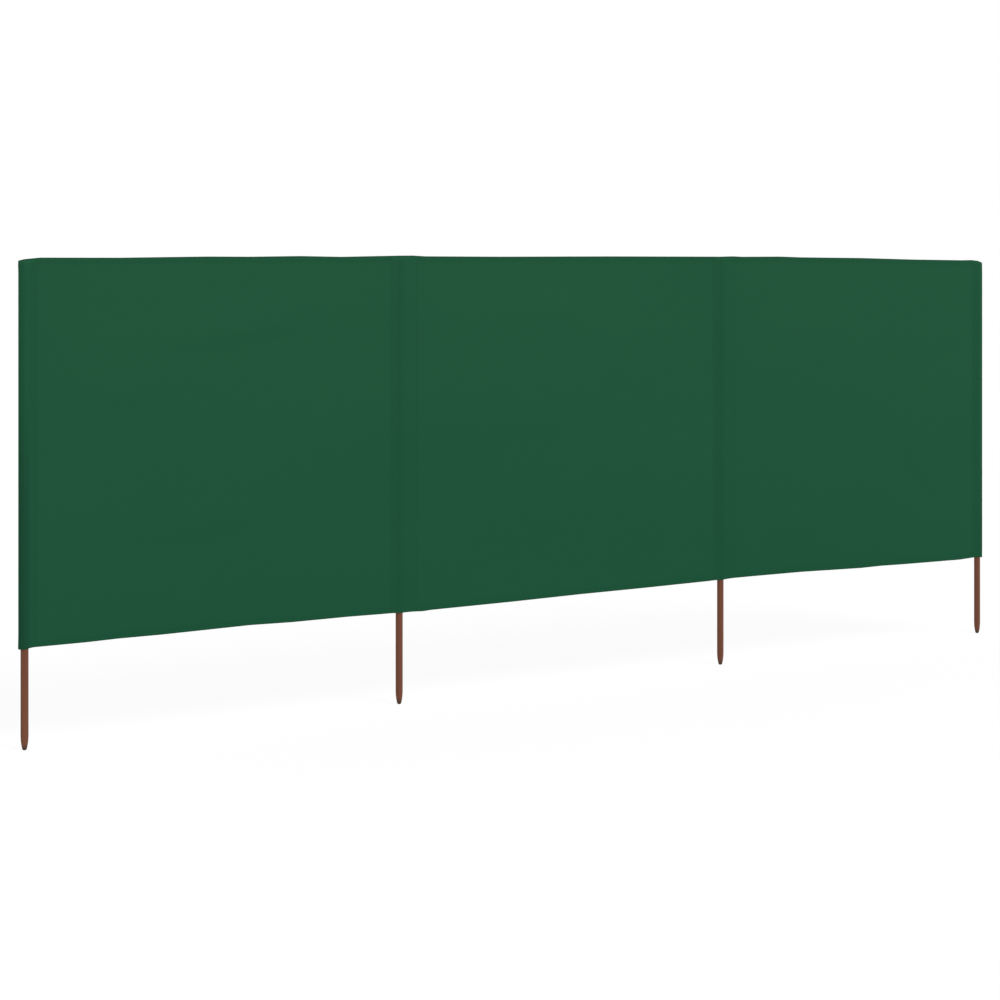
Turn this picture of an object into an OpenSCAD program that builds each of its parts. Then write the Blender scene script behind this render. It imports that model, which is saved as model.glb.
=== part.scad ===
// Beach windbreak: three bays of cloth on four round wooden poles.
// Millimetres, +Z up. The origin is the foot of the second pole from the left,
// +X runs along the middle bay to the third pole, and the front faces -Y.

/* [Cloth] */
// Length of the whole cloth, laid out straight
cloth_length = 4000; // [3000:50:6000]
// Height of the cloth
cloth_height = 1200; // [800:50:1400]
// Distance between the two middle poles
middle_bay = 1360; // [1000:20:2000]
// Thickness of a bay's cloth, thicker than the real one so that it is solid
cloth_thickness = 3; // [2:0.5:5]

/* [Poles] */
// Length of each pole
pole_length = 1500; // [1500:50:2000]
// Diameter of each pole
pole_diameter = 24; // [16:1:32]
// Length of the pointed end that goes into the sand
point_length = 42; // [20:2:80]
// Diameter of the flat at the very tip
tip_diameter = 8; // [4:1:14]
// Bevel round each pole's top end
top_bevel = 2; // [1:0.5:4]

/* [Pole pockets] */
// Cloth round the pole
pocket_wall = 2; // [1.5:0.5:4]
// Gap between a pole and its pocket
pocket_clearance = 0.3; // [0.2:0.1:1]
// From an inner pole's axis to the seam on its left, where the cloth folds
near_seam = 32; // [24:1:45]
// From an inner pole's axis to the seam on its right
far_seam = 62; // [36:1:90]
// From an end pole's axis to its pocket's seam
end_seam = 30; // [26:1:60]
// Room between an end pole's pocket and the folded edge of the cloth
fold_slack = 3.7; // [1:0.1:10]
// Cloth that closes a pocket above the pole's top
pocket_cap = 10; // [4:1:25]
// Gap at a near seam, between a pocket and the bay that folds there
fold_gap = 0.3; // [0.2:0.1:1]

/* [Hems] */
// Height of the hems along the top and the bottom
hem_height = 20; // [10:1:40]
// Thickness of the hems, where the cloth is turned over
hem_thickness = 5; // [3:0.5:8]

/* [Hidden] */
$fn = 96;
// Degrees by which a pocket's flat sides leave the round before they would be tangent to it
tangent_margin = 6;
// Degrees between two corners of a round, so that a flat side starts at a corner
facet = 360 / $fn;
// Bevel that rounds a pole's tip, as a share of the step from the tip out to the shaft
rounding_share = 0.36;
pole_radius = pole_diameter / 2;
tip_radius = tip_diameter / 2;
pocket_bore = pole_radius + pocket_clearance;
pocket_radius = pocket_bore + pocket_wall;
end_fold = pocket_radius + fold_slack;
cloth_bottom = pole_length + pocket_cap - cloth_height;
cloth_top = cloth_bottom + cloth_height;
end_bay = (cloth_length - middle_bay) / 2 - end_fold;
pole_1_x = -end_bay;
pole_2_x = 0;
pole_3_x = middle_bay;
pole_4_x = middle_bay + end_bay;
left_bay_x = [pole_1_x + end_seam, pole_2_x - near_seam - fold_gap];
middle_bay_x = [pole_2_x + far_seam, pole_3_x - near_seam - fold_gap];
right_bay_x = [pole_3_x + far_seam, pole_4_x - end_seam];
pole_colour = [0.42, 0.25, 0.18];
cloth_colour = [0.13, 0.33, 0.22];
hem_colour = [0.11, 0.29, 0.19];
pocket_colour = [0.12, 0.31, 0.20];

// One pole: a flat tip with a small rounding, a long point, a round shaft and a bevelled top.
module pole(x) {
    rounding = rounding_share * (pole_radius - tip_radius);
    rounded_radius = tip_radius + rounding;
    color(pole_colour)
    translate([x, 0, 0])
    rotate_extrude()
    polygon([
        [0, 0],
        [tip_radius, 0],
        [rounded_radius, rounding],
        [pole_radius, point_length],
        [pole_radius, pole_length - top_bevel],
        [pole_radius - top_bevel, pole_length],
        [0, pole_length]
    ]);
}

// The corner of the round from which a pocket's flat side starts, for a seam at this reach.
function shoulder_angle(reach) = facet * floor((
    atan2(cloth_thickness / 2, reach)
    + acos(pocket_radius / norm([reach, cloth_thickness / 2]))
    - tangent_margin) / facet);
function shoulder(reach) =
    pocket_radius * [cos(shoulder_angle(reach)), sin(shoulder_angle(reach))];

// The flat sides of a pocket, from the seam or fold on the left to the one on the right.
module pocket_sides(left_reach, right_reach) {
    half = cloth_thickness / 2;
    left = shoulder(left_reach);
    right = shoulder(right_reach);
    polygon([
        [-left_reach, -half],
        [-left[0], -left[1]],
        [right[0], -right[1]],
        [right_reach, -half],
        [right_reach, half],
        [right[0], right[1]],
        [-left[0], left[1]],
        [-left_reach, half]
    ]);
}

// One pocket, closed at the top, with the pole's bore open at the bottom.
module pocket(x, left_reach, right_reach) {
    color(pocket_colour)
    translate([x, 0, cloth_bottom])
    difference() {
        linear_extrude(cloth_height)
        union() {
            circle(r = pocket_radius);
            pocket_sides(left_reach, right_reach);
        }
        translate([0, 0, -1])
        cylinder(h = cloth_height - pocket_cap + 1, r = pocket_bore);
    }
}

// One bay's single layer of cloth, between its two hems.
module bay(span) {
    color(cloth_colour)
    translate([span[0], -cloth_thickness / 2, cloth_bottom + hem_height])
    cube([span[1] - span[0], cloth_thickness, cloth_height - 2 * hem_height]);
}

// One bay's turned-over edge.
module hem(span, z) {
    color(hem_colour)
    translate([span[0], -hem_thickness / 2, z])
    cube([span[1] - span[0], hem_thickness, hem_height]);
}

module pole_1() pole(pole_1_x);
module pole_2() pole(pole_2_x);
module pole_3() pole(pole_3_x);
module pole_4() pole(pole_4_x);
module pocket_1() pocket(pole_1_x, end_fold, end_seam);
module pocket_2() pocket(pole_2_x, near_seam, far_seam);
module pocket_3() pocket(pole_3_x, near_seam, far_seam);
module pocket_4() pocket(pole_4_x, end_seam, end_fold);
module bay_1() bay(left_bay_x);
module bay_2() bay(middle_bay_x);
module bay_3() bay(right_bay_x);
module top_hem_1() hem(left_bay_x, cloth_top - hem_height);
module top_hem_2() hem(middle_bay_x, cloth_top - hem_height);
module top_hem_3() hem(right_bay_x, cloth_top - hem_height);
module bottom_hem_1() hem(left_bay_x, cloth_bottom);
module bottom_hem_2() hem(middle_bay_x, cloth_bottom);
module bottom_hem_3() hem(right_bay_x, cloth_bottom);

pole_1();
pole_2();
pole_3();
pole_4();
pocket_1();
pocket_2();
pocket_3();
pocket_4();
bay_1();
bay_2();
bay_3();
top_hem_1();
top_hem_2();
top_hem_3();
bottom_hem_1();
bottom_hem_2();
bottom_hem_3();
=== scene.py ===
# %% [markdown]
# # A beach windbreak, piece by piece
# A long green cloth stands on four round poles. Each pole slides up into a pocket that is
# sewn into the cloth, so the poles show only as short brown feet below it.
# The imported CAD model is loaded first. It says where every piece goes and what each piece
# moves with, and nothing below changes it: the looks are built round it.

# %% Load the frame
import math

import bpy
import numpy as np
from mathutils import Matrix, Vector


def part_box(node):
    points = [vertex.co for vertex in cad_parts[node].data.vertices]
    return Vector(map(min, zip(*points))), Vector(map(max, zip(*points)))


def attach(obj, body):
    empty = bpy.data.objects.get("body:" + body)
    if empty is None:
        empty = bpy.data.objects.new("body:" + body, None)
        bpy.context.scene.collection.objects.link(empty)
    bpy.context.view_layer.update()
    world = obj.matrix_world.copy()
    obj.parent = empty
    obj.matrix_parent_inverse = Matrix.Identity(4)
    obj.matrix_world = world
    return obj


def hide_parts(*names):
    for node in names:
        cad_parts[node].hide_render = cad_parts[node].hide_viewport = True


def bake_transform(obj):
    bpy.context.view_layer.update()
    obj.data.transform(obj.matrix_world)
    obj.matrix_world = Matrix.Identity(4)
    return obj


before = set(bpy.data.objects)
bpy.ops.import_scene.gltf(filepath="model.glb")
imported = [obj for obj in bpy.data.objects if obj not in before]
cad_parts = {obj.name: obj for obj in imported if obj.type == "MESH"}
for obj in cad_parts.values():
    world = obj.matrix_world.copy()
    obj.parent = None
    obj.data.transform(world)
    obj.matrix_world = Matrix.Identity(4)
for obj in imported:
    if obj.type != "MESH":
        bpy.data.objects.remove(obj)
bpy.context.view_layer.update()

# %% [markdown]
# ## Where things are
# All the places come from the CAD nodes' boxes: the poles' axes, the seams of the pole
# pockets, and the cloth's lower and upper edge. Sizes are in metres.

# %% Places from the frame
def middle_x(node):
    """The x of a CAD node's centre line."""
    low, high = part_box(node)
    return (low.x + high.x) / 2


pole_x = [middle_x(f"pole_{i}") for i in (1, 2, 3, 4)]
pole_radius = (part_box("pole_1")[1].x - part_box("pole_1")[0].x) / 2
pole_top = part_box("pole_1")[1].z
near_seam = pole_x[1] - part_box("pocket_2")[0].x
far_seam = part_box("pocket_2")[1].x - pole_x[1]
end_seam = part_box("pocket_1")[1].x - pole_x[0]
cloth_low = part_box("bottom_hem_1")[0].z
cloth_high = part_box("top_hem_1")[1].z
print("poles at", [round(x, 3) for x in pole_x])
print("cloth from", round(cloth_low, 3), "to", round(cloth_high, 3))

# %% [markdown]
# ## Small helpers
# Operators act on whatever is selected, and the loaded nodes come in selected, so each
# piece starts from an empty selection. A finished piece keeps its place in its mesh and
# its object at the origin, as the CAD nodes do.

# %% Helpers for modelling
def start_clean():
    """Leaves edit mode and selects nothing."""
    if bpy.context.object and bpy.context.object.mode != "OBJECT":
        bpy.ops.object.mode_set(mode="OBJECT")
    bpy.ops.object.select_all(action="DESELECT")


def settle(name):
    """Names the active piece and moves its place and turn into its mesh."""
    piece = bpy.context.object
    piece.name = piece.data.name = name
    bpy.ops.object.transform_apply(location=True, rotation=True, scale=True)
    return piece


def pick_faces(piece, test):
    """In edit mode, selects the faces whose centre passes the test, and nothing else."""
    bpy.ops.mesh.select_all(action="DESELECT")
    bpy.ops.object.mode_set(mode="OBJECT")
    for face in piece.data.polygons:
        face.select = test(face.center, face.normal)
    bpy.ops.object.mode_set(mode="EDIT")


def apply_modifier(piece, kind, **settings):
    """Adds a modifier with its settings and applies it."""
    bpy.context.view_layer.objects.active = piece
    made = piece.modifiers.new(kind.title(), kind)
    for setting, value in settings.items():
        setattr(made, setting, value)
    bpy.ops.object.modifier_apply(modifier=made.name)


# %% [markdown]
# ## A short way to write shader maths
# A material's pattern is arithmetic on values such as "how far along the cloth". Written
# as nodes that is a long list, so one small class wraps a socket, and adding or
# multiplying two of them adds the Math node. Everything else goes through `node`.

# %% Shader maths as Python expressions
class Value:
    """One value in a material, which can be added, multiplied and so on."""

    def __init__(self, finish, socket):
        self.finish, self.socket = finish, socket

    def maths(self, operation, *values):
        sockets = dict(enumerate(values))
        return self.finish.node("ShaderNodeMath", {"operation": operation}, sockets)[0]

    def __add__(self, other):
        return self.maths("ADD", self, other)

    def __radd__(self, other):
        return self.maths("ADD", other, self)

    def __sub__(self, other):
        return self.maths("SUBTRACT", self, other)

    def __rsub__(self, other):
        return self.maths("SUBTRACT", other, self)

    def __mul__(self, other):
        return self.maths("MULTIPLY", self, other)

    def __rmul__(self, other):
        return self.maths("MULTIPLY", other, self)

    def wave(self):
        return self.maths("SINE", self)


class Finish:
    """A material and the ways to add to it."""

    def __init__(self, name):
        self.material = bpy.data.materials.new(name)
        self.material.use_nodes = True
        self.tree = self.material.node_tree
        self.shader = self.tree.nodes["Principled BSDF"]

    def node(self, kind, settings, sockets):
        """Adds a node with its settings and its sockets' values or links. Returns its outputs."""
        made = self.tree.nodes.new(kind)
        for name, value in settings.items():
            setattr(made, name, value)
        self.plug(made, sockets)
        return [Value(self, socket) for socket in made.outputs]

    def plug(self, node, sockets):
        """Links each socket to a Value, or sets it to a constant."""
        for name, value in sockets.items():
            if isinstance(value, Value):
                self.tree.links.new(value.socket, node.inputs[name])
            else:
                node.inputs[name].default_value = value

    def surface(self, **sockets):
        """Sets the shader's own sockets, with _ for a space in a name."""
        named = {name.replace("_", " "): value for name, value in sockets.items()}
        self.plug(self.shader, named)

    def mix(self, share, first, second):
        """A colour between two colours."""
        made = self.tree.nodes.new("ShaderNodeMix")
        made.data_type = "RGBA"
        for socket, value in ((0, share), (6, first), (7, second)):
            self.plug(made, {socket: value})
        return Value(self, made.outputs[2])

    def noise(self, place, scale, detail=2.0, stretch=(1, 1, 1)):
        """Soft noise around 0.5, stretched along an axis where the number is small."""
        drawn = self.node("ShaderNodeMapping", {}, {"Vector": place, "Scale": stretch})[0]
        sockets = {"Vector": drawn, "Scale": scale, "Detail": detail}
        return self.node("ShaderNodeTexNoise", {}, sockets)[0]


# %% [markdown]
# ## The camera
# It stands in front and to the left of the row, level, at about eye height. A level
# camera keeps the poles upright in the picture, and the lens is shifted down to bring
# the whole screen into view, as an architect's camera would be.

# %% Camera
camera_place = (-3.354, -6.166, 1.458)
camera_turn = math.radians(31.33)
start_clean()
bpy.ops.object.camera_add(location=camera_place, rotation=(math.pi / 2, 0, -camera_turn))
camera = bpy.context.object
camera.data.sensor_width = 36
camera.data.lens = 74.6
camera.data.shift_y = -0.227
bpy.context.scene.camera = camera

# %% [markdown]
# ## The poles
# Each pole is a softwood dowel, stained reddish brown and pointed with a blunt, rounded
# end that goes into the sand. It starts as a cylinder that stops where the point begins,
# and the end face is then drawn down and in, ring by ring, the way a point is turned.
# The top is hidden in its closed pocket, and only gets a small bevel.

# %% One pole, by extruding its end face
# How far each ring of the point goes down, and its share of the pole's radius.
point_rings = (
    (0.013, 0.94), (0.011, 0.83), (0.009, 0.69),
    (0.0055, 0.57), (0.0025, 0.47), (0.001, 0.34),
)
point_length = sum(drop for drop, _ in point_rings)
top_hidden = 0.014
top_bevel = 0.002


def make_pole(number, x):
    """A round pole whose end face is drawn down into a blunt point at z = 0."""
    start_clean()
    top = pole_top - top_hidden
    middle = (x, 0, (top + point_length) / 2)
    bpy.ops.mesh.primitive_cylinder_add(
        vertices=48, radius=pole_radius, depth=top - point_length, location=middle
    )
    pole = settle(f"wooden_pole_{number}")
    bpy.ops.object.mode_set(mode="EDIT")
    pick_faces(pole, lambda centre, normal: normal.z > 0.9)
    bpy.ops.mesh.bevel(offset=top_bevel, segments=3, affect="EDGES")
    pick_faces(pole, lambda centre, normal: normal.z < -0.9)
    z, last = point_length, 1.0
    for drop, share in point_rings:
        z -= drop
        bpy.ops.mesh.extrude_region_move(TRANSFORM_OT_translate={"value": (0, 0, -drop)})
        bpy.ops.transform.resize(value=(share / last, share / last, 1), center_override=(x, 0, z))
        last = share
    bpy.ops.object.mode_set(mode="OBJECT")
    bpy.ops.object.shade_smooth_by_angle(angle=math.radians(40))
    return pole


poles = [make_pole(i + 1, x) for i, x in enumerate(pole_x)]
print("poles:", len(poles), "with", len(poles[0].data.vertices), "points each")

# %% [markdown]
# ## Stained wood
# The stain is even and matt. What shows is the grain: long soft streaks along the pole,
# slightly darker than the rest, with a faint ripple that the bump gives. The point is a
# little darker and greyer towards its end.

# %% Wood finish
wood = Finish("stained_wood")
place = wood.node("ShaderNodeTexCoord", {}, {})[3]
height = wood.node("ShaderNodeSeparateXYZ", {}, {"Vector": place})[2]
streaks = wood.noise(place, 90, 4, (1, 1, 0.03))
fibres = wood.noise(place, 420, 2, (1, 1, 0.02))
grain = streaks * 0.7 + fibres * 0.3
stain = wood.mix(grain, (0.108, 0.0350, 0.0188, 1), (0.243, 0.0910, 0.0505, 1))
darker_point = wood.node(
    "ShaderNodeMapRange",
    {"interpolation_type": "SMOOTHSTEP"},
    {"Value": height, "From Min": 0.002, "From Max": 0.024, "To Min": 0.8, "To Max": 0.0},
)[0]
stain = wood.mix(darker_point, stain, (0.045, 0.040, 0.027, 1))
ripple = wood.node("ShaderNodeBump", {}, {"Height": grain, "Distance": 0.0004, "Strength": 0.5})[0]
wood.surface(Base_Color=stain, Roughness=0.55 + grain * 0.25, Normal=ripple, Specular_IOR_Level=0.2)
for pole in poles:
    pole.data.materials.append(wood.material)

# %% [markdown]
# ## How the cloth is laid out
# The cloth is one long strip, so it is made as one would lay it: a line on the ground
# says how it runs, and every point of the sheet stands above that line. Seen from above,
# the line goes straight from seam to seam, and tight round every pole between them. Each
# point of it has an x, how far it bulges from the plane of the bays, and whether it is
# the front layer (0) or the back layer (1) where two layers are sewn together.

# %% Sizes of the cloth
cloth_thickness = 0.0009
# From the middle of one layer to the middle of the next, where they are sewn together.
layer_gap = 0.0011
hem_height = 0.018
# The cloth that goes on past a seam, at the sheets' ends and at a strip's.
turned_edge = 0.007
strip_margin = 0.006
# Where the cloth folds round an end pole, from the pole's axis.
left_fold, right_fold = (-0.0200, 0), (0.0275, -0.002)
# How far the cloth at each pole lies before the plane of the poles.
pulled_ahead = (0, 0.005, 0.005, 0.009)
tube_radius = pole_radius + 0.0019

# %% [markdown]
# A pocket's line leaves its seam straight for the pole, goes round it and comes straight
# back. The line of the left sheet starts inside the first pocket, and ends at the near
# seam of the third pole, where the right sheet takes over.

# %% Lines on the ground
def round_pole(a, b):
    """Points from a to b, tight and anticlockwise round a pole at the origin."""
    leave = math.atan2(a[1], a[0]) + math.acos(tube_radius / math.hypot(*a))
    arrive = math.atan2(b[1], b[0]) - math.acos(tube_radius / math.hypot(*b))
    turn = (arrive - leave) % (2 * math.pi)
    arc = [leave + turn * k / 12 for k in range(13)]
    return [a, *((tube_radius * math.cos(t), tube_radius * math.sin(t)) for t in arc), b]


def stops(number, path, back):
    """A path round a pole, as points of a line on the ground."""
    return [(pole_x[number - 1] + x, y + pulled_ahead[number - 1], back) for x, y in path]


def inner_pocket(number):
    """The front of an inner pocket, and its back with a margin outside both seams."""
    level = -pulled_ahead[number - 1]
    near, far = (-near_seam, level), (far_seam, level)
    starts, ends = (far_seam + strip_margin, level), (-near_seam - strip_margin, level)
    back = [starts, *round_pole(far, near), ends]
    return stops(number, round_pole(near, far), 0), stops(number, back, 1)


left_seam, right_seam = (end_seam, 0), (-end_seam, -pulled_ahead[3])
fronts, backs = zip(inner_pocket(2), inner_pocket(3))
left_end = [(end_seam + turned_edge, 0), *round_pole(left_seam, left_fold)]
right_end = [*round_pole(right_fold, right_seam), (-end_seam - turned_edge, right_seam[1])]
left_stops = stops(1, left_end, 1) + stops(1, round_pole(left_fold, left_seam), 0)
left_stops += fronts[0] + [(pole_x[2] - near_seam, 0, 0)]
right_stops = fronts[1] + stops(4, round_pole(right_seam, right_fold), 0) + stops(4, right_end, 1)

# %% [markdown]
# Cloth doesn't turn sharp corners, so each line is eased: it is cut into millimetres, and
# each point is moved to the average of its neighbours. Then only the points that the
# sheet needs are kept: many near a pole, and fewer across a bay.

# %% Easing a line
millimetre = 0.001
step_in_pocket = 0.0035
step_in_bay = 0.012
# How many neighbours on each side are averaged.
ease = 4
# The middle of each pocket from its pole's axis, and half of the width that gets many points.
pocket_middles = np.array((0.010, 0.017, 0.017, -0.010))
pocket_reach = 0.055


def along_line(points):
    """The distance along the line of each of its points."""
    return np.concatenate([[0], np.cumsum(np.linalg.norm(np.diff(points[:, :2], axis=0), axis=1))])


def eased(corners):
    """The line through the corners, with each of them softened."""
    points = np.array(corners)
    along = along_line(points)
    cuts = np.linspace(0, along[-1], round(along[-1] / millimetre))
    fine = np.stack([np.interp(cuts, along, column) for column in points.T], axis=1)
    longer = np.pad(fine, ((ease, ease), (0, 0)), mode="reflect", reflect_type="odd")
    shares = np.hanning(2 * ease + 3)[1:-1] / (ease + 1)
    return np.stack([np.convolve(column, shares, "valid") for column in longer.T], axis=1)


def thinned(points):
    """The points that the sheet needs."""
    along, kept = along_line(points), [0]
    for k in range(1, len(points) - 1):
        near = np.min(np.abs(points[k, 0] - pole_x - pocket_middles)) < pocket_reach
        if along[k] - along[kept[-1]] >= (step_in_pocket if near else step_in_bay):
            kept.append(k)
    return points[[*kept, len(points) - 1]]


left_line, right_line = thinned(eased(left_stops)), thinned(eased(right_stops))
strip_lines = [thinned(eased(back)) for back in backs]
print("points along the cloth:", len(left_line), "and", len(right_line))
print("points along a strip:", len(strip_lines[0]))

# %% [markdown]
# ## How the cloth hangs
# A real one is never quite true. Its edges run a few millimetres up and down from pole
# to pole, and the end pockets drop a little. Both edges are written as points: a pole,
# the distance to the right of its axis, and how far the edge rises there.

# %% Heights of the two edges
top_rises = (
    (1, -0.019, -0.0145), (1, 0.0, -0.010), (1, 0.05, -0.005), (1, 0.3, -0.0045),
    (1, 0.6, 0.0005), (1, 0.75, 0.0005), (1, 0.93, 0.0035), (2, -0.22, 0.0015),
    (2, 0.0, 0.0065), (2, 0.05, 0.007), (2, 0.1, 0.0045), (2, 0.4, 0.0045),
    (2, 0.85, 0.0075), (3, 0.0, 0.0085), (3, 0.055, 0.010), (3, 0.1, 0.0085),
    (3, 0.28, 0.010), (3, 0.38, 0.0075), (3, 0.68, 0.006), (3, 0.95, 0.001),
    (4, -0.09, -0.001), (4, -0.04, 0.0), (4, 0.0, -0.003), (4, 0.025, -0.010),
)
low_rises = (
    (1, -0.004, -0.001), (1, 0.013, 0.0015), (1, 0.2, 0.0015), (1, 0.3, 0.0035),
    (1, 0.45, 0.003), (1, 0.75, 0.0065), (1, 0.9, 0.003), (2, -0.2, 0.003),
    (2, -0.07, 0.001), (2, 0.035, 0.0), (2, 0.09, -0.003), (2, 0.12, -0.001),
    (2, 0.45, 0.0005), (2, 0.73, 0.0035), (2, 1.0, 0.004), (3, -0.06, 0.006),
    (3, 0.036, 0.0085), (3, 0.14, 0.0085), (3, 0.38, 0.0075), (3, 0.68, 0.0005),
    (3, 0.78, 0.0015), (3, 0.9, -0.001), (4, -0.1, -0.0045), (4, -0.04, -0.0015),
    (4, 0.0, 0.0), (4, 0.013, -0.002), (4, 0.025, -0.0055),
)


def edge_line(rises):
    """The x of each point of an edge, and its rise."""
    return [(pole_x[number - 1] + x, rise) for number, x, rise in rises]


top_line, low_line = edge_line(top_rises), edge_line(low_rises)
print("the upper edge rises by", max(rise for _, rise in top_line), "at most")

# %% [markdown]
# The cloth is pulled over the poles, each bay bellies slightly to the front, and faint
# creases run across it. A crease is written as its two ends, how far it stands out and
# how wide it is. A bay's belly and its creases are nil at its seams, so that the sheets
# meet there.

# %% Belly and creases
bays = [
    (pole_x[0] + end_seam, pole_x[1] - near_seam),
    (pole_x[1] + far_seam, pole_x[2] - near_seam),
    (pole_x[2] + far_seam, pole_x[3] - end_seam),
]
belly_depths = (0.012, 0.010, 0.010)
creases = [
    ((-1.06, 1.205), (-0.12, 1.335), 0.0050, 0.034),
    ((-1.27, 1.040), (-0.70, 1.110), 0.0034, 0.028),
    ((-1.30, 0.690), (-0.16, 0.735), 0.0055, 0.140),
    ((-1.24, 0.560), (-0.20, 0.640), -0.0030, 0.050),
    ((0.34, 1.322), (0.84, 1.310), 0.0018, 0.020),
    ((0.20, 0.850), (0.85, 0.870), -0.0024, 0.050),
    ((1.52, 1.262), (2.06, 1.228), 0.0024, 0.024),
    ((2.15, 0.930), (2.54, 0.500), 0.0036, 0.050),
    ((1.50, 0.470), (1.92, 0.490), 0.0032, 0.032),
]


def creased(x, z):
    """How far the creases stand out. Each fades slowly above a ridge and quickly below it."""
    out = 0.0012 * np.sin(2.1 * x + 3.3 * z + 0.4) * np.sin(4.7 * z - 1.3 * x)
    for (x0, z0), (x1, z1), height, width in creases:
        length = math.hypot(x1 - x0, z1 - z0)
        along = ((x - x0) * (x1 - x0) + (z - z0) * (z1 - z0)) / length**2
        aside = ((z - z0) * (x1 - x0) - (x - x0) * (z1 - z0)) / length
        reach = np.where(aside * height > 0, 2.5 * width, width)
        full = np.sin(np.pi * np.clip(along, 0, 1)) ** 2
        out += height * full * np.exp(-((aside / reach) ** 2))
    return out


def belly(x, z):
    """How far the cloth stands out to the front of the plane of the poles."""
    share = np.clip((z - cloth_low) / (cloth_high - cloth_low), 0, 1)
    out = np.interp(x, bays[0] + bays[2], pulled_ahead)
    for (x0, x1), depth in zip(bays, belly_depths):
        tight = np.sin(np.pi * np.clip((x - x0) / (x1 - x0), 0, 1))
        full = 0.2 + 0.8 * np.sin(np.pi * share**1.25)
        out += depth * full * tight + creased(x, z) * np.sqrt(tight)
    return out


# %% [markdown]
# A few shares say where the cloth is something else than a plain bay: in a pocket, in a
# hem, or before a pole. They run softly from one value to another, because hard steps
# would show as lines. Each fade below is the distance over which that happens.

# %% Shares of pockets, hems and shade
# How far below the upper edge a pocket begins to close, and where it is shut.
closing_height, closed_height = 0.020, 0.004
hem_fade = 0.02
seam_fade = 0.012
folded_height = 0.004
# Half of the width of the shaded cloth before an inner pole.
shade_width, shade_fade = 0.015, 0.006
# The painted light on a pocket's flank beside an inner pole: its middle from the pole's axis, and
# half of its width.
painted_light_middle, painted_light_width, painted_light_fade = 0.020, 0.012, 0.004


def pocket_share(z):
    """1 where a pocket is round its pole, falling to 0 where it is sewn shut near the top."""
    start = cloth_high - closing_height
    return np.sqrt(1 - np.clip((z - start) / (closing_height - closed_height), 0, 1) ** 2)


def hem_share(z):
    """1 in the two hems and 0 between them, with a soft change."""
    inside = np.minimum(z - cloth_low, cloth_high - z)
    out = np.clip((inside - hem_height) / hem_fade, 0, 1)
    return 1 - out**2 * (3 - 2 * out)


def pole_shade(x, z):
    """How much darker the cloth looks where a pole behind it takes the light away."""
    # At the left end it begins below 1.10 m, and at the right end below 0.75 m.
    left = np.clip((pole_x[0] + 0.013 - x) / 0.004, 0, 1) * np.clip((1.10 - z) / 0.30, 0, 1)
    right = np.clip((x - pole_x[3] + 0.004) / 0.008, 0, 1) * np.clip((0.75 - z) / 0.25, 0, 1)
    offsets = [np.abs(x - pole - 0.002) for pole in pole_x[1:3]]
    inner = sum(np.clip((shade_width - offset) / shade_fade, 0, 1) for offset in offsets)
    return 0.6 * left + 0.4 * right + 0.10 * inner


def painted_light_share(x):
    """1 between an inner pole and its near seam, where the pocket's layers lie apart and the flank
    gets painted light.
    """
    offsets = [np.abs(x - pole + painted_light_middle) for pole in pole_x[1:3]]
    return sum(np.clip((painted_light_width - offset) / painted_light_fade, 0, 1) for offset in offsets)


# %% [markdown]
# The class below puts these together. `place` is all that the rest of the script needs:
# it says where a point of the cloth is, and the stitches use it too.

# %% A sheet laid along its line
class Cloth:
    """A sheet laid along a line on the ground."""

    def __init__(self, line):
        self.line = line
        self.along = along_line(line)
        self.length = self.along[-1]
        heading = np.gradient(line[:, :2], self.along, axis=0)
        heading /= np.linalg.norm(heading, axis=1)[:, None]
        self.inward = np.stack([-heading[:, 1], heading[:, 0]], axis=1)

    def along_at(self, x):
        """How far along the front layer a given x lies."""
        front = self.line[:, 2] < 0.25
        return np.interp(x, self.line[front, 0], self.along[front])

    def layers(self, along, z):
        """How much painted shade the cloth gets: 0 when single, 1 when double, more on a folded
        edge or before a pole, and little more than single where a pocket's layers lie apart, as
        painted light."""
        x = np.interp(along, self.along, self.line[:, 0])
        away = np.max([np.minimum(x - x0, x1 - x) for x0, x1 in bays], axis=0)
        edge = np.minimum(z - cloth_low, cloth_high - z)
        # Painted shade: cloth sewn double, folded edges and cloth before a pole are painted darker.
        sewn = np.clip(0.5 - np.minimum(away, edge - hem_height) / seam_fade, 0, 1)
        folded = np.clip(1 - edge / folded_height, 0, 1)
        # A pocket's flank is painted lighter than its two layers would make it: painted light.
        return sewn - 0.9 * painted_light_share(x) + np.maximum(folded, pole_shade(x, z))

    def place(self, along, z, inset):
        """The points at these distances along the line and heights, moved inward by inset."""
        x, bulge, back = (np.interp(along, self.along, column) for column in self.line.T)
        nx, ny = (np.interp(along, self.along, column) for column in self.inward.T)
        wide = pocket_share(z)
        gap = layer_gap * (1 + 2 * hem_share(z))
        # The last pocket closes in line with its fold, which lies a little before the bay.
        last_seam, last_fold = pole_x[3] - end_seam, pole_x[3] + right_fold[0]
        closed = np.interp(x, (last_seam, last_fold), (0, right_fold[1] + pulled_ahead[3]))
        y = closed + (bulge - closed) * wide + back * gap - belly(x, z)
        inward = np.where(np.abs(bulge) > 0, ny * wide + np.sign(ny) * (1 - wide), ny)
        share = (z - cloth_low) / (cloth_high - cloth_low)
        rise = np.interp(x, *zip(*low_line)) * (1 - share) + np.interp(x, *zip(*top_line)) * share
        return np.stack([x + nx * inset, y + inward * inset, z + rise], axis=-1)


left_cloth, right_cloth = Cloth(left_line), Cloth(right_line)
print("lengths with their turned ends:", round(left_cloth.length, 3), round(right_cloth.length, 3))

# %% [markdown]
# ## Making a sheet
# A grid is added with one point for every step along the line and up the cloth, and its
# points are moved to their places. Going up, the rows start on the raw edge inside the
# bottom hem, roll round the lower edge, climb the front, roll over the top and come down
# the inside of the top hem, so that both hems are really turned over. Solidify then
# gives the cloth its thickness. The UV map holds the distances along and up the cloth,
# so that a pattern stays on it when it bends.

# %% A sheet from a grid
map_size = 3.0


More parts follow.
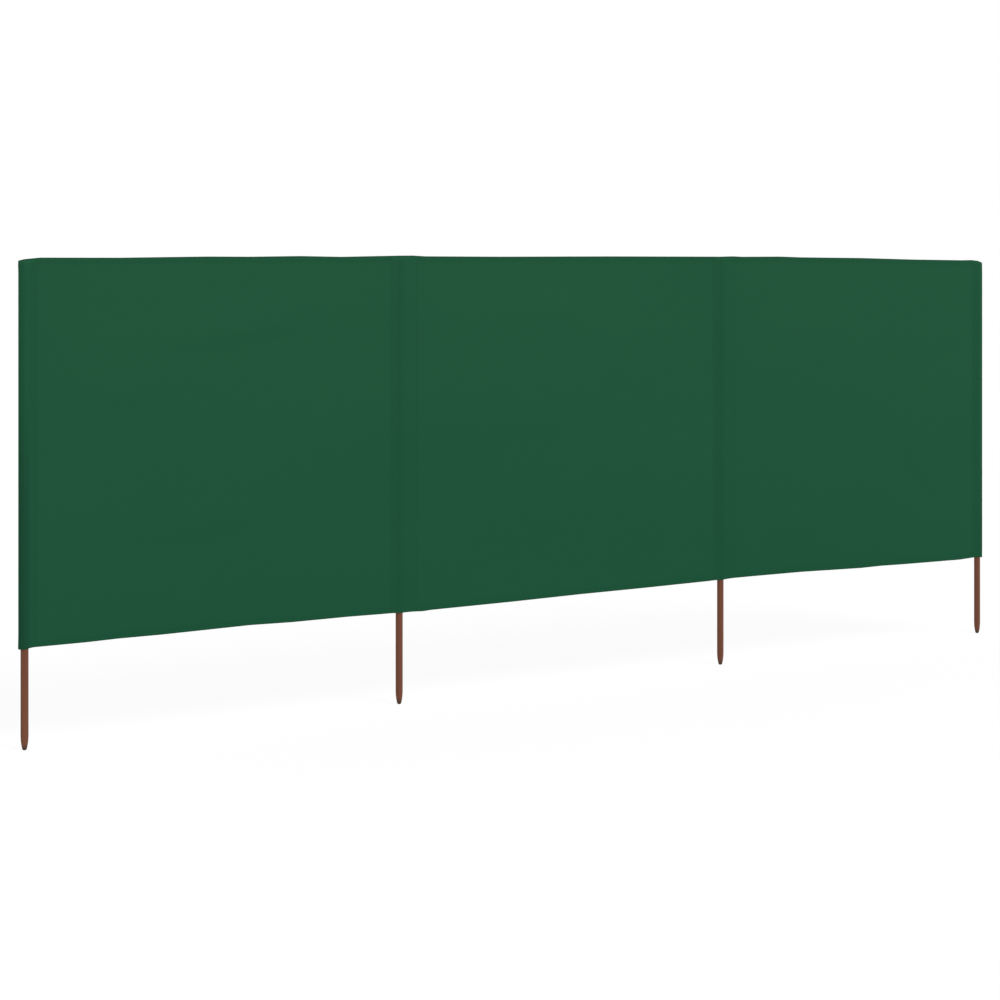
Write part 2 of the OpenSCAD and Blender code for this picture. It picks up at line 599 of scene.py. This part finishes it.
def upward_rows():
    """(height, inset) of every row, from one raw edge to the other."""
    roll = layer_gap / 2
    turned = np.linspace(hem_height, roll, 5)
    near_edge = [0.004, 0.008, 0.012]
    low = [(cloth_low + h, layer_gap) for h in turned] + [(cloth_low + 0.0001, roll)]
    high = [(cloth_high - 0.0001, roll)] + [(cloth_high - h, layer_gap) for h in turned[::-1]]
    climb = np.linspace(cloth_low + hem_height, cloth_high - hem_height, 88)
    front = [cloth_low + roll, *(cloth_low + h for h in near_edge), *climb]
    front += [*(cloth_high - h for h in near_edge[::-1]), cloth_high - roll]
    return np.array(low + [(z, 0.0) for z in front] + high)


def make_sheet(name, cloth, rows):
    """A grid laid on the cloth's places, with a UV map of distances, made thick."""
    start_clean()
    across, up = len(cloth.along), len(rows)
    bpy.ops.mesh.primitive_grid_add(x_subdivisions=across - 1, y_subdivisions=up - 1, size=1)
    sheet = settle(name)
    flat = np.array([v.co for v in sheet.data.vertices])
    i = np.rint((flat[:, 0] + 0.5) * (across - 1)).astype(int)
    j = np.rint((flat[:, 1] + 0.5) * (up - 1)).astype(int)
    spots = cloth.place(cloth.along[i], rows[j, 0], rows[j, 1])
    sheet.data.vertices.foreach_set("co", spots.astype(np.float32).ravel())
    climbed = np.concatenate([[0], np.cumsum(np.linalg.norm(np.diff(rows, axis=0), axis=1))])
    corners = np.array([loop.vertex_index for loop in sheet.data.loops])
    distances = np.stack([cloth.along[i][corners], climbed[j][corners]], axis=1) / map_size
    sheet.data.uv_layers[0].data.foreach_set("uv", distances.astype(np.float32).ravel())
    layers = sheet.data.attributes.new("layers", "FLOAT", "POINT")
    layers.data.foreach_set("value", cloth.layers(cloth.along[i], rows[j, 0]).astype(np.float32))
    sheet.data.update()
    apply_modifier(sheet, "SOLIDIFY", thickness=cloth_thickness, offset=0)
    bpy.ops.object.shade_smooth_by_angle(angle=math.radians(50))
    return sheet, (cloth.length, climbed[-1])


rows = upward_rows()
left_sheet, left_flat = make_sheet("cloth_left_and_middle", left_cloth, rows)
right_sheet, right_flat = make_sheet("cloth_right", right_cloth, rows)
for sheet, flat in ((left_sheet, left_flat), (right_sheet, right_flat)):
    print(sheet.name, "cut to", [round(c, 3) for c in flat], "faces", len(sheet.data.polygons))

# %% [markdown]
# ## Pocket strips
# An inner pole stands between the cloth and a strip that is sewn on behind it along
# both edges. The strip's line runs from right to left, so that its inner side faces the
# pole.

# %% Pocket strips
strips = []
for number, line in zip((2, 3), strip_lines):
    strip_cloth = Cloth(line)
    strip, flat = make_sheet(f"pocket_strip_{number}", strip_cloth, rows)
    strips.append((strip_cloth, strip, flat))
    print(strip.name, "cut to", [round(c, 3) for c in flat])

# %% [markdown]
# ## Stitches
# A sewing machine leaves a row of short raised stitches with small gaps. One stitch is
# modelled: a thin six-sided rod with its ends drawn in. An Array repeats it along a
# row, and the row is then laid on the cloth with the same place() that made the sheet,
# so it follows every bulge.

# %% A stitch, a row and a seam
stitch_length, stitch_pitch, thread_radius = 0.0036, 0.0050, 0.00035
# How far a stitch's end face is drawn in, and how far out it then stands.
end_inset, end_length = 0.00018, 0.0003


def make_stitch():
    """One stitch along x, at the origin."""
    start_clean()
    bpy.ops.mesh.primitive_cylinder_add(
        vertices=6, radius=thread_radius, depth=stitch_length, rotation=(0, math.pi / 2, 0)
    )
    stitch = settle("stitch")
    bpy.ops.object.mode_set(mode="EDIT")
    for side in (1, -1):
        pick_faces(stitch, lambda centre, normal: normal.x * side > 0.9)
        bpy.ops.mesh.inset(thickness=end_inset)
        bpy.ops.transform.translate(value=(side * end_length, 0, 0))
    bpy.ops.object.mode_set(mode="OBJECT")
    return stitch


def lay_row(stitch, cloth, start, end, inset):
    """A row of stitches on the cloth, from one (along, height) to another."""
    start_clean()
    row = stitch.copy()
    row.data = stitch.data.copy()
    bpy.context.collection.objects.link(row)
    row.select_set(True)
    run = np.array(end) - np.array(start)
    length = np.linalg.norm(run)
    apply_modifier(
        row, "ARRAY", count=int(length / stitch_pitch), use_relative_offset=False,
        use_constant_offset=True, constant_offset_displace=(stitch_pitch, 0, 0),
    )
    shape = np.array([v.co for v in row.data.vertices])
    ahead, aside = run / length, np.array([-run[1], run[0]]) / length
    on_cloth = np.array(start) + shape[:, :1] * ahead + shape[:, 1:2] * aside
    spots = cloth.place(on_cloth[:, 0], on_cloth[:, 1], inset + shape[:, 2])
    row.data.vertices.foreach_set("co", spots.astype(np.float32).ravel())
    return row


def sew(name, cloth, row_list):
    """Lays the rows and joins them into one object."""
    stitch = make_stitch()
    made = [lay_row(stitch, cloth, *row) for row in row_list]
    start_clean()
    bpy.data.objects.remove(stitch)
    for row in made:
        row.select_set(True)
    bpy.context.view_layer.objects.active = made[0]
    bpy.ops.object.join()
    seam = settle(name)
    bpy.ops.object.mode_set(mode="EDIT")
    bpy.ops.mesh.select_all(action="SELECT")
    bpy.ops.mesh.normals_make_consistent(inside=False)
    bpy.ops.object.mode_set(mode="OBJECT")
    bpy.ops.object.shade_smooth_by_angle(angle=math.radians(60))
    return seam


# %% [markdown]
# Long rows run along both hems, on the front and on the back. Upright rows hold the
# pockets: two at each end pocket, which show on both of its sides, and one at each seam
# of an inner pocket. All rows of a sheet are joined into one object.

# %% Rows along the hems and at the seams
outside = -(cloth_thickness / 2 + 0.0001)
hem_back = layer_gap + cloth_thickness / 2 + 0.0001
hem_row = 0.0145
row_heights = (cloth_low + hem_row, cloth_high - hem_row)
low_end, high_end = cloth_low + 0.003, cloth_high - 0.003
# An end pocket's two rows, from the cloth's cut end on the back and from the seam on the front.
back_rows, front_rows = (0.003, 0.008), (-0.0005, 0.0045)
# An inner pocket's rows, from its seams outwards, and how far from its ends a hem's row stops.
strip_row = strip_margin / 2
pocket_gap, join_gap = 0.002, 0.001


def hem_rows(start, end):
    """The four rows of a stretch of cloth: along each hem, on the front and on the back."""
    return [((start, z), (end, z), inset) for z in row_heights for inset in (outside, hem_back)]


def upright_rows(places):
    """A row up the cloth at each distance along it."""
    return [((along, low_end), (along, high_end), outside) for along in places]


left_seam_place = left_cloth.along_at(pole_x[0] + end_seam)
left_places = [
    *back_rows,
    *(left_seam_place + d for d in front_rows),
    left_cloth.along_at(pole_x[1] - near_seam - strip_row),
    left_cloth.along_at(pole_x[1] + far_seam + strip_row),
    left_cloth.along_at(pole_x[2] - near_seam - strip_row),
]
right_seam_place = right_cloth.along_at(pole_x[3] - end_seam)
right_places = [
    right_cloth.along_at(pole_x[2] + far_seam + strip_row),
    *(right_seam_place - d for d in front_rows[::-1]),
    *(right_cloth.length - d for d in back_rows[::-1]),
]
left_rows = hem_rows(pocket_gap, left_cloth.length - join_gap) + upright_rows(left_places)
right_rows = hem_rows(join_gap, right_cloth.length - pocket_gap) + upright_rows(right_places)
left_stitches = sew("stitches_left_and_middle", left_cloth, left_rows)
right_stitches = sew("stitches_right", right_cloth, right_rows)
strip_stitches = [
    sew(f"stitches_pocket_{number}", cloth, upright_rows([strip_row, cloth.length - strip_row]))
    for number, (cloth, _, _) in zip((2, 3), strips)
]
print("stitch faces:", len(left_stitches.data.polygons), len(right_stitches.data.polygons))

# %% [markdown]
# ## Woven cloth
# The cloth is a plain weave, dyed dark green. Close up there are threads over and under
# in both directions; from further away only slow patches and fine slubs are left, a few
# per cent lighter or darker. The pattern reads the UV map of distances, so the weave is
# the same size everywhere and moves with the cloth. Light and shade are painted on as well:
# the cloth is painted lighter towards the top, as light from above, and where it is dense
# less light would come through from behind, so it is painted a little darker there.

# %% Cloth finish
# The painted shade colour that folded edges, and the cloth before a pole, run toward.
shadow_green = (0.010, 0.040, 0.022, 1)


def make_cloth_finish(name, deep, light, thread_pitch):
    """A matt woven cloth between two shades of its colour, with painted light and shade mixed in.
    """
    finish = Finish(name)
    coordinates = finish.node("ShaderNodeTexCoord", {}, {})[2]
    scaled = {"Vector": coordinates, "Scale": (map_size,) * 3}
    metres = finish.node("ShaderNodeMapping", {}, scaled)[0]
    along, up, _ = finish.node("ShaderNodeSeparateXYZ", {}, {"Vector": metres})
    painted_dense_shade = finish.node("ShaderNodeAttribute", {"attribute_name": "layers"}, {})[2]
    patches = finish.noise(metres, 1.6, 2, (0.5, 1.8, 1))
    slubs_up = finish.noise(metres, 60, 3, (0.25, 1.6, 1))
    slubs_across = finish.noise(metres, 60, 3, (1.6, 0.25, 1))
    slubs = slubs_up * 0.5 + slubs_across * 0.5
    turns = 2 * math.pi / thread_pitch
    weave = (along * turns).wave() * (up * turns).wave()
    # Painted light and shade: lighter towards the top, as light from above, and darker where the
    # cloth is dense.
    shade = up * 0.3 + patches * 0.5 + slubs * 0.3 + weave * 0.05 - painted_dense_shade * 0.25
    # Painted shade: folded edges and the cloth before a pole run toward shadow_green.
    beyond = {"Value": painted_dense_shade, "From Min": 1.0, "From Max": 2.0, "To Max": 0.5}
    edge = finish.node("ShaderNodeMapRange", {}, beyond)[0]
    colour = finish.mix(edge, finish.mix(shade, deep, light), shadow_green)
    relief = {"Height": weave + slubs, "Distance": 0.00025, "Strength": 0.35}
    threads = finish.node("ShaderNodeBump", {}, relief)[0]
    finish.surface(
        Base_Color=colour, Roughness=0.82 + slubs * 0.12, Normal=threads, Specular_IOR_Level=0.04
    )
    return finish.material


green_cloth = make_cloth_finish(
    "green_woven_cloth", (0.0112, 0.0840, 0.0396, 1), (0.0180, 0.0970, 0.0460, 1), 0.0011
)
green_thread = make_cloth_finish(
    "green_thread", (0.0136, 0.0880, 0.0420, 1), (0.0200, 0.1140, 0.0540, 1), 0.0006
)
for piece in (left_sheet, right_sheet, strips[0][1], strips[1][1]):
    piece.data.materials.append(green_cloth)
for piece in (left_stitches, right_stitches, *strip_stitches):
    piece.data.materials.append(green_thread)

# %% [markdown]
# ## What moves with what
# The poles ride on their CAD bodies. The cloth, its strips and its stitches only have
# their places moved into their meshes: they ride on no body and nothing makes them bend.

# %% Riding, and the cloth kept in place
def bend_at(piece):
    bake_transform(piece)


for pole, body in zip(poles, ("left_section", "middle_section", "middle_section", "right_section")):
    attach(pole, body)
    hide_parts(pole.name.replace("wooden_", ""))
for piece in (left_sheet, left_stitches, strips[0][1], strip_stitches[0]):
    bend_at(piece)
for piece in (right_sheet, right_stitches, strips[1][1], strip_stitches[1]):
    bend_at(piece)
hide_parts("pocket_1", "bay_1", "top_hem_1", "bottom_hem_1", "bay_2", "top_hem_2", "bottom_hem_2")
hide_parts("bay_3", "top_hem_3", "bottom_hem_3", "pocket_4")
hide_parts("pocket_2")
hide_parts("pocket_3")

# %% [markdown]
# ## The stage
# A pale floor and plain soft light. The floor and the world look white to the camera
# because of their own colour, not because of strong lamps, so the green stays as it is.

# %% Floor and world
start_clean()
bpy.ops.mesh.primitive_plane_add(size=60, location=(0, 0, 0))
floor = settle("floor")
paper = Finish("white_paper")
seen = paper.node("ShaderNodeLightPath", {}, {})[0]
glow = paper.node("ShaderNodeEmission", {}, {"Color": (1, 1, 1, 1), "Strength": 1.05})[0]
paper.surface(Base_Color=(0.8, 0.8, 0.8, 1), Roughness=0.9)
matt = Value(paper, paper.shader.outputs[0])
blend = paper.node("ShaderNodeMixShader", {}, {0: seen * 0.85, 1: matt, 2: glow})[0]
paper.plug(paper.tree.nodes["Material Output"], {"Surface": blend})
floor.data.materials.append(paper.material)

world = bpy.data.worlds.new("studio")
bpy.context.scene.world = world
world.use_nodes = True
sky = world.node_tree
rays = sky.nodes.new("ShaderNodeLightPath")
brightness = sky.nodes.new("ShaderNodeMapRange")
brightness.inputs["To Min"].default_value = 0.69
brightness.inputs["To Max"].default_value = 1.0
sky.links.new(rays.outputs["Is Camera Ray"], brightness.inputs["Value"])
sky.links.new(brightness.outputs["Result"], sky.nodes["Background"].inputs["Strength"])
sky.nodes["Background"].inputs["Color"].default_value = (1, 1, 1, 1)

# %% [markdown]
# One wide lamp stands high to the front and right. Its soft light shows the creases and
# leaves only a faint shadow.

# %% Lamp
start_clean()
sun_height, sun_side = math.radians(46), math.radians(26)
sun_turn = (math.pi / 2 - sun_height, 0, sun_side)
bpy.ops.object.light_add(type="SUN", location=(3, -6, 6), rotation=sun_turn)
key_lamp = bpy.context.object
key_lamp.name = "key_lamp"
key_lamp.data.energy = 1.28
key_lamp.data.angle = math.radians(30)
bpy.context.scene.view_settings.view_transform = "Standard"
